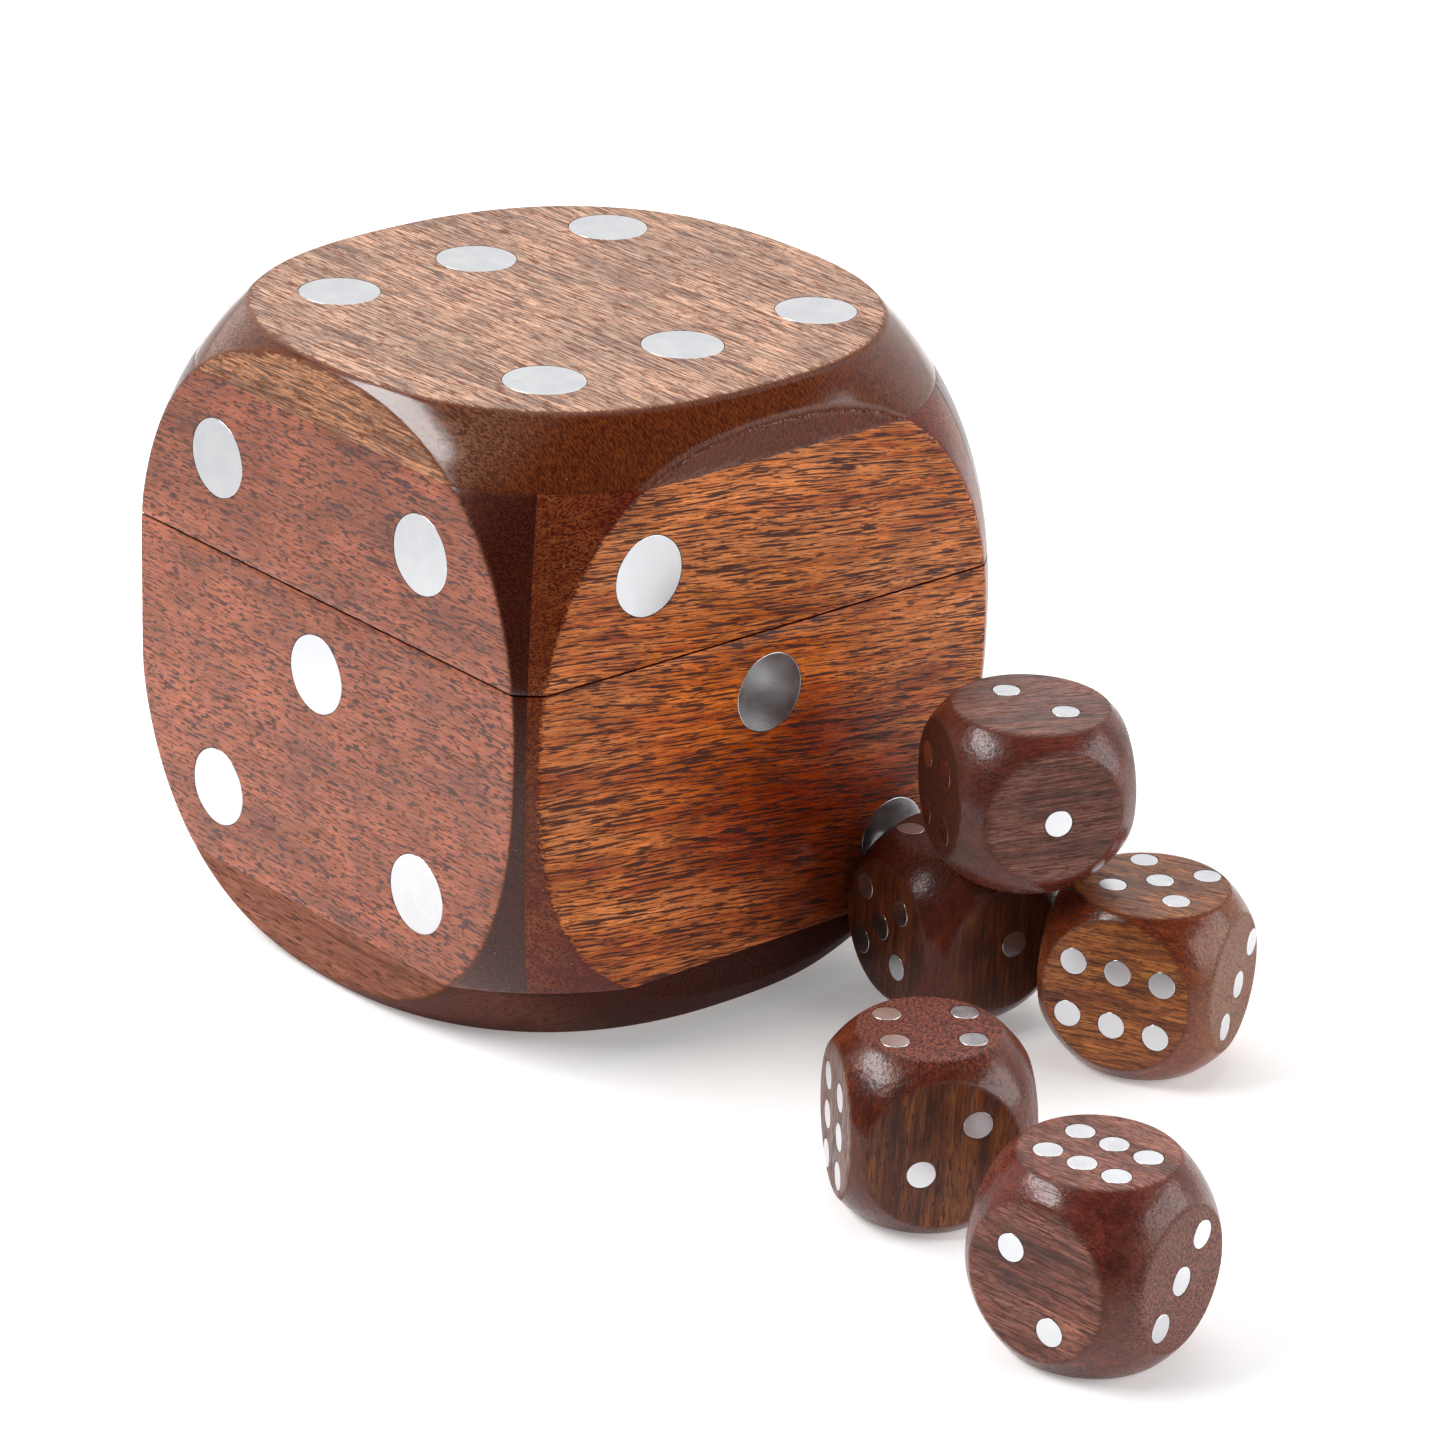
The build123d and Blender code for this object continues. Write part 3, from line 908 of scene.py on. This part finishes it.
def read_die(node, seed):
    """A die's block, worked out from its CAD mesh: turn, size and the egg of its corners."""
    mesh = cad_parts[node].data
    turn = turn_of(mesh)
    to_row = np.array(Matrix.Rotation(turn, 3, "Z"))
    points = np.array([v.co for v in mesh.vertices]) @ to_row
    middle = (points.min(0) + points.max(0)) / 2
    half = (points.max(0) - points.min(0)) / 2
    local = points - middle
    # the points below every flat and not on a pocket's floor lie on the egg
    below = (half - np.abs(local)).min(-1)
    on_egg = (below > 0.05 * MM) & (np.abs(below - DIE_POCKET) > 0.01 * MM)
    egg = local[on_egg] / MM
    # least squares for flat (x^2 + y^2) + tall z^2 + push . (x, y, z) = 1
    terms = np.column_stack([egg[:, :2] ** 2 @ [1, 1], egg[:, 2] ** 2, egg])
    flat, tall, *push = np.linalg.lstsq(terms, np.ones(len(egg)), rcond=None)[0]
    weights = np.array([flat, flat, tall])
    at = -np.array(push) / (2 * weights)
    size = 1 + (weights * at * at).sum()
    return Block(to_row @ middle, half, turn, at * MM, np.sqrt(size / weights) * MM, 2, DIE_EASE, seed)


DICE_LOOK = like(
    ROSEWOOD, figure=(24, 3.0), streak=(12, 0.7), cloud=5, fibre=(0.62, 1.32),
    light=(0.30, 0.104, 0.068), mid=(0.215, 0.066, 0.040), dark=(0.090, 0.028, 0.020),
    end_dark=(0.055, 0.014, 0.010), end_light=(0.240, 0.074, 0.046), end_range=(0.55, 0.95),
    stain=(0.70, 0.42, 0.40), stain_body=(0.120, 0.028, 0.018), stain_share=0.30,
    pore=(0.026, 0.007, 0.005), strokes=((4.0, 0.24, 0.56, 0.62, 0.75), (1.2, 0.18, 0.60, 0.65, 0.7)),
    rim=(0.10, 0.026, 0.012), rough_edge=0.12, flat_roughness=0.32, corner_roughness=0.18,
    specular=0.36, dents=4.0, corner_grain=1.0)
die_look = {
    "stacked_die": like(
        DICE_LOOK, light=(0.26, 0.096, 0.064), mid=(0.20, 0.068, 0.044),
        end_dark=(0.030, 0.006, 0.003), end_light=(0.110, 0.032, 0.014)),
    "rear_die": like(
        DICE_LOOK, light=(0.16, 0.044, 0.012), mid=(0.095, 0.020, 0.005), dark=(0.045, 0.010, 0.003),
        specular=0.25),
    "right_die": like(
        DICE_LOOK, light=(0.47, 0.160, 0.034), mid=(0.33, 0.095, 0.018), dark=(0.19, 0.050, 0.011),
        end_dark=(0.080, 0.024, 0.010), end_light=(0.250, 0.090, 0.034)),
    "left_die": like(
        DICE_LOOK, light=(0.20, 0.060, 0.014), mid=(0.115, 0.027, 0.006), dark=(0.050, 0.011, 0.004),
        end_light=(0.25, 0.058, 0.030), end_dark=(0.042, 0.009, 0.006), speck=(0.4, 0.4),
        strokes=((2.0, 0.35, 0.58, 0.64, 0.9),)),
    "front_die": DICE_LOOK,
}
# fibre and face of each die, in its own axes
die_grain = {
    "stacked_die": ((0, 1, 0.05), (1, 0.2, 0.3)),
    "rear_die": ((0.03, 0, 1), (0.3, 1, 0.2)),
    "right_die": ((1, 0, 0.05), (0.3, 1, 0.2)),
    "left_die": ((0.02, 0.04, 1), (0.3, 1, 0.2)),
    "front_die": ((1, 0, -0.08), (0.3, 1, 0.2)),
}
DIE_BEND = 3.5          # mm
DIE_HEART = 1.7         # times its place, so that no two dice share a pattern

for order, name in enumerate(DICE):
    die = read_die(f"{name}_block", seed=30 + order)
    spin = Matrix.Rotation(die.turn, 3, "Z")
    fibre, face = die_grain[name]
    grain = {"fibre": spin @ Vector(fibre), "face": spin @ Vector(face), "bend": DIE_BEND,
             "heart": Vector(die.middle) * DIE_HEART}
    drill = add_discs(f"{name}_pips", die, name, f"{name}_discs", DIE_DISC_SEGMENTS,
                      seed=400 + 40 * order)
    piece = finish_wood(f"{name}_wood", block_bmesh(die, inner=12, outer=9), die, drill)
    dress(piece, wood(f"wood_{name}", grain, die_look[name]))
    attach(piece, name)
    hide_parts(f"{name}_block")


# =====================================================================================
# floor, light and camera
# =====================================================================================
WHITE = (1, 1, 1, 1)
FLOOR_REACH = 4.0
FLOOR_GLOW = 0.26
PAPER = ((0.92, 0.92, 0.92), (0.95, 0.95, 0.95))
TABLE = (0.10, 0.09, 0.09)
TABLE_NEAR = (0.13, 0.22)       # metres from the box where the paper passes into the table
TABLE_ASIDE = (0.12, 0.22)
TABLE_ASIDE_SHARE = 0.50
SHEET_AT = (0.30, 0.07)         # metres to the right, and towards the camera
SHEET_EDGE = (0.07, 0.115)
SHEET_SHARE = 0.6
WHITE_WALL = (-130, 12)         # azimuth and elevation, behind the object
WHITE_WALL_FADE = (0.25, 0.75)
ROOM_LEVEL, WHITE_WALL_LEVEL = 0.10, 0.95

CAMERA_AZIMUTH, CAMERA_ELEVATION = 49.98, 22.05
CAMERA_ROLL, CAMERA_PAN, CAMERA_TILT = 1.33, -1.50, 1.09
CAMERA_DISTANCE = 0.8008
CAMERA_AIM = Vector((0, 0, 0.0447))
LENS, SENSOR_WIDTH = 143.83, 36.0


def from_angles(azimuth, elevation):
    """The unit vector towards a place, azimuth 0 being in front of the object, at -Y."""
    a, e = radians(azimuth), radians(elevation)
    return Vector((sin(a) * cos(e), -cos(a) * cos(e), sin(e)))


def table_share(tree, place):
    """Where the paper gives way to something dark, all of it out of the picture.

    A table lies on the camera's side and to the left, and a sheet on the right, where the
    three's side mirrors it.
    """
    forward = from_angles(CAMERA_AZIMUTH, 0)
    right = from_angles(CAMERA_AZIMUTH + 90, 0)
    near = vector_maths(tree, "DOT_PRODUCT", place, tuple(forward))
    aside = vector_maths(tree, "DOT_PRODUCT", place, tuple(from_angles(CAMERA_AZIMUTH - 90, 0)))
    table = maths(tree, "MAXIMUM", spread(tree, near, *TABLE_NEAR),
                  spread(tree, aside, *TABLE_ASIDE, 0.0, TABLE_ASIDE_SHARE))
    sheet_at = right * SHEET_AT[0] + forward * SHEET_AT[1]
    far = vector_maths(tree, "LENGTH", vector_maths(tree, "SUBTRACT", place, tuple(sheet_at)))
    return maths(tree, "MAXIMUM", table, spread(tree, far, *SHEET_EDGE, SHEET_SHARE, 0.0))


def add_floor():
    mesh = bpy.data.meshes.new("floor")
    corners = [(x * FLOOR_REACH, y * FLOOR_REACH, 0) for x, y in ((-1, -1), (1, -1), (1, 1), (-1, 1))]
    mesh.from_pydata(corners, [], [(0, 1, 2, 3)])
    floor = add_object("floor", mesh)
    material, tree, shader = new_material("floor_paper")
    place = object_place(tree)
    paper = mix(tree, noise(tree, place, scale=3.0, detail=2.0), *PAPER)
    table = table_share(tree, place)
    tree.links.new(mix(tree, table, paper, TABLE), shader.inputs["Base Color"])
    # lit softly from below, like a light table, which thins the shadows
    shader.inputs["Emission Color"].default_value = WHITE
    tree.links.new(spread(tree, table, 0, 1, FLOOR_GLOW, 0.0), shader.inputs["Emission Strength"])
    shader.inputs["Roughness"].default_value = 0.9
    mesh.materials.append(material)


def add_lamp(name, azimuth, elevation, distance, width, height, power):
    light = bpy.data.lights.new(name, "AREA")
    light.shape = "RECTANGLE"
    light.size, light.size_y = width, height
    light.energy = power
    lamp = add_object(name, light)
    lamp.location = box_middle + from_angles(azimuth, elevation) * distance
    lamp.rotation_euler = (box_middle - lamp.location).to_track_quat("-Z", "Y").to_euler()


def add_surroundings():
    """A white wall behind the object, and a dim room everywhere else."""
    world = bpy.data.worlds.new("studio")
    world.use_nodes = True
    bpy.context.scene.world = world
    tree = world.node_tree
    way = add_node(tree, "ShaderNodeTexCoord").outputs["Generated"]
    towards_white = vector_maths(tree, "DOT_PRODUCT", way, tuple(from_angles(*WHITE_WALL)))
    level = spread(tree, towards_white, *WHITE_WALL_FADE, ROOM_LEVEL, WHITE_WALL_LEVEL)
    tree.links.new(level, tree.nodes["Background"].inputs["Strength"])
    tree.nodes["Background"].inputs["Color"].default_value = WHITE


def add_camera():
    camera_data = bpy.data.cameras.new("camera")
    camera_data.sensor_width = SENSOR_WIDTH
    camera_data.lens = LENS
    camera_data.clip_start, camera_data.clip_end = 0.01, 50
    camera = add_object("camera", camera_data)
    turn = Matrix.Identity(4)
    for angle, axis in ((CAMERA_AZIMUTH, "Z"), (90 - CAMERA_ELEVATION, "X"), (CAMERA_ROLL, "Z"),
                        (CAMERA_PAN, "Y"), (-CAMERA_TILT, "X")):
        turn = turn @ Matrix.Rotation(radians(angle), 4, axis)
    away = from_angles(CAMERA_AZIMUTH, CAMERA_ELEVATION) * CAMERA_DISTANCE
    camera.matrix_world = Matrix.Translation(CAMERA_AIM + away) @ turn
    bpy.context.scene.camera = camera


add_floor()
add_lamp("soft_box_left", azimuth=-31, elevation=46, distance=1.1, width=0.84, height=0.34, power=12.5)
add_lamp("soft_box_top", azimuth=-130, elevation=58, distance=1.3, width=1.4, height=1.2, power=6.5)
add_lamp("white_panel_right", azimuth=128, elevation=19, distance=1.4, width=1.4, height=0.8, power=16)
add_surroundings()
add_camera()
bpy.context.scene.view_settings.view_transform = "Standard"
